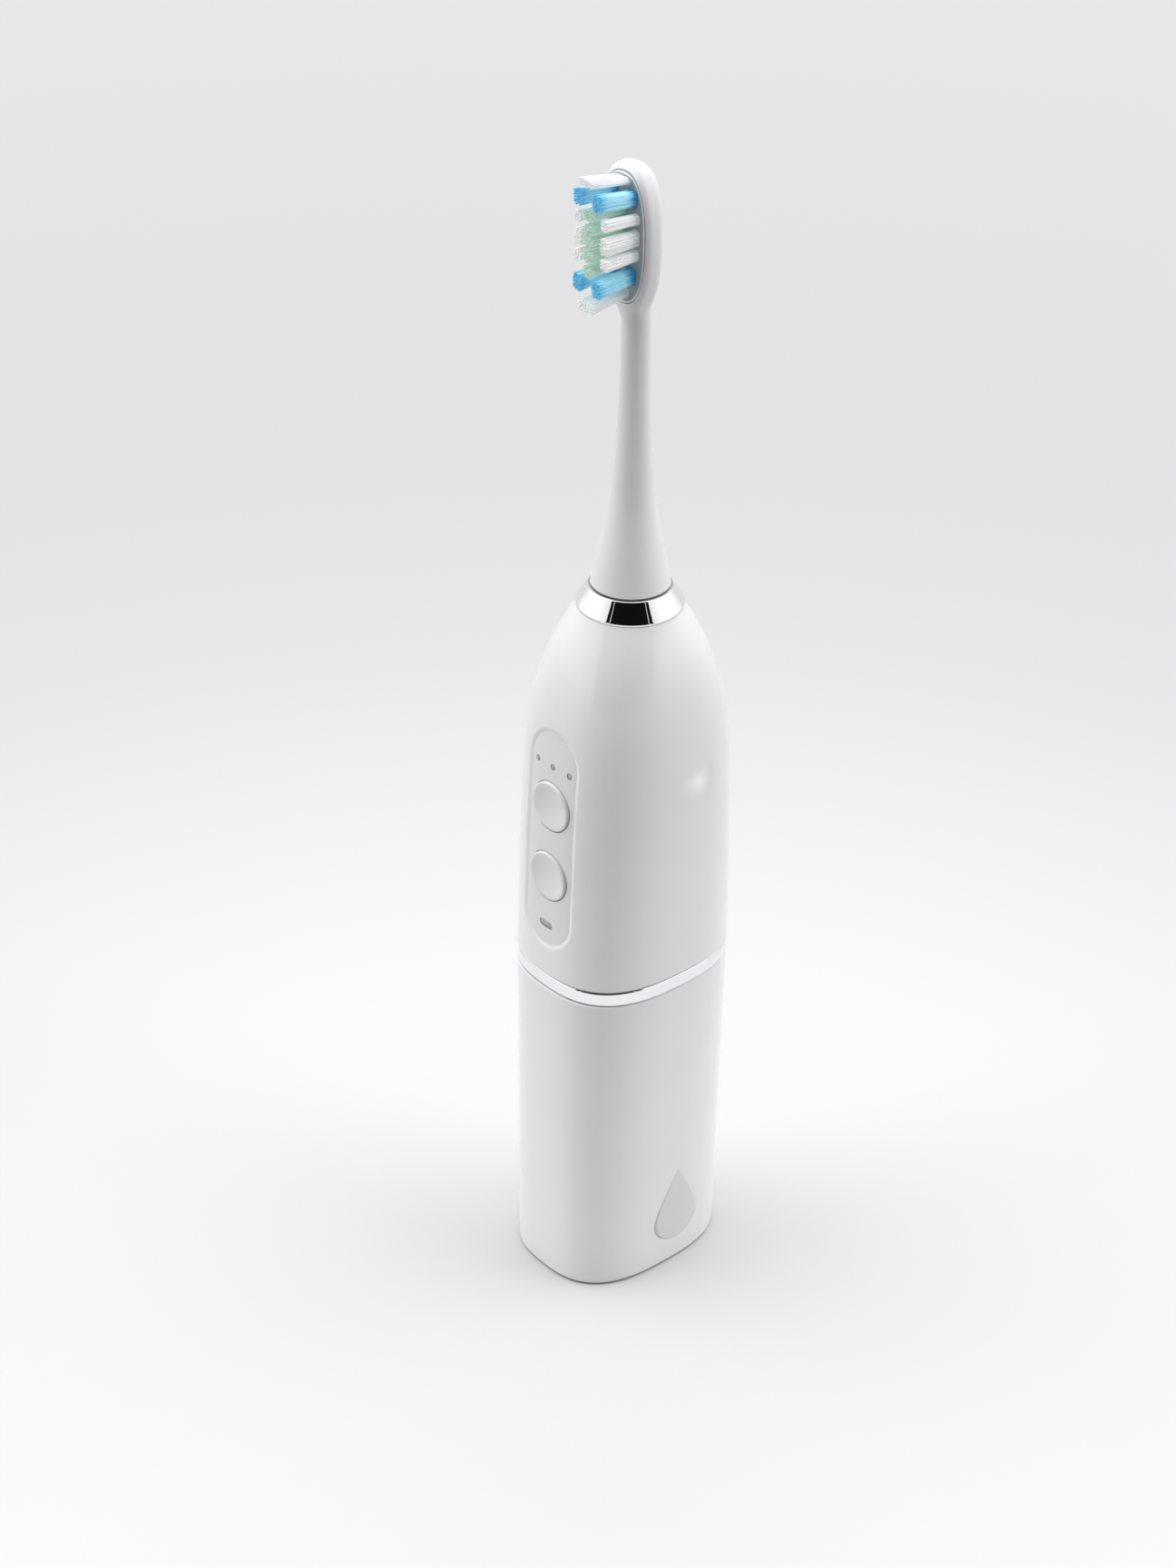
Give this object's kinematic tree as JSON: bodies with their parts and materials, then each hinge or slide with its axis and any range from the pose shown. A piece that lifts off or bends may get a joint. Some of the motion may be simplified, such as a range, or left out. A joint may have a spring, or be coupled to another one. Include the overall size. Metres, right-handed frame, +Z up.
{
  "type": "electric toothbrush",
  "caption": "Electric toothbrush standing in a charging dock of the same rounded section, with a pull-off brush head, two push buttons and a chrome band and collar.",
  "frame": {"origin": "on the ground under the middle of the dock", "axes": "+Z up along the handle; the buttons and the bristles face -Y and the charging socket faces +Y"},
  "size_m": [0.0344, 0.0404, 0.2315],
  "materials": {
    "gloss_white": "gloss moulded",
    "satin_white": "satin moulded",
    "soft_white": "soft satin overmoulded",
    "clear_lens": "tinted lens",
    "chrome": "mirror plated",
    "steel": "plain",
    "copper": "enamelled wire",
    "ferrite": "sintered",
    "rubber": "matt",
    "board": "solder mask",
    "battery_sleeve": "shrink sleeve",
    "frame_plastic": "moulded",
    "white_filament": "nylon filament",
    "blue_filament": "nylon filament",
    "green_filament": "nylon filament"
  },
  "bodies": {
    "dock": {"dock_shell": "gloss_white", "dock_well": "satin_white", "dock_base": "satin_white", "base_screw_1": "steel", "base_screw_2": "steel", "base_screw_3": "steel", "base_screw_4": "steel", "foot_pad": "rubber", "dock_ballast": "steel", "dock_board": "board", "usb_socket": "steel", "charge_coil": "copper", "charge_ferrite": "ferrite"},
    "handle": {"upper_shell": "gloss_white", "control_pad": "soft_white", "shank_shell": "satin_white", "trim_band": "chrome", "shell_gasket": "rubber", "neck_ring": "chrome", "shaft_seal": "rubber", "receiver_coil": "copper", "receiver_ferrite": "ferrite", "battery_cell": "battery_sleeve", "chassis": "frame_plastic", "torsion_bar": "steel", "chassis_screw_1": "steel", "chassis_screw_2": "steel", "main_board": "board", "mode_switch": "frame_plastic", "power_switch": "frame_plastic", "mode_light_pipe": "clear_lens", "charge_lens": "clear_lens", "motor_can": "steel", "motor_end_cap": "frame_plastic", "rear_bearing": "steel", "front_bearing": "steel", "stator_coil": "copper"},
    "mode_button": {"mode_button": "soft_white"},
    "power_button": {"power_button": "soft_white"},
    "drive": {"drive_shaft": "steel", "rotor_core": "steel", "rotor_magnet_1": "ferrite", "rotor_magnet_2": "ferrite"},
    "brush_head": {"head_body": "satin_white", "coupler_sleeve": "steel", "bristle_plate": "gloss_white", "green_tufts": "green_filament", "blue_tufts": "blue_filament", "white_tufts": "white_filament"}
  },
  "joints": [
    {"name": "handle_lift", "type": "slide", "parent": "dock", "child": "handle", "axis": [0, 0, 1], "range_m": [0, 0.06]},
    {"name": "mode_press", "type": "slide", "parent": "handle", "child": "mode_button", "axis": [0, 1, 0], "range_m": [0, 0.0006], "stiffness_N_per_m": 2000},
    {"name": "power_press", "type": "slide", "parent": "handle", "child": "power_button", "axis": [0, 1, 0], "range_m": [0, 0.0006], "stiffness_N_per_m": 2000},
    {"name": "shaft_swing", "type": "hinge", "parent": "handle", "child": "drive", "pos_m": [0, 0, 0.1509], "axis": [0, 0, 1], "range_deg": [-5, 5], "stiffness_Nm_per_rad": 0.2},
    {"name": "head_pull", "type": "slide", "parent": "drive", "child": "brush_head", "axis": [0, 0, 1], "range_m": [0, 0.024]}
  ]
}
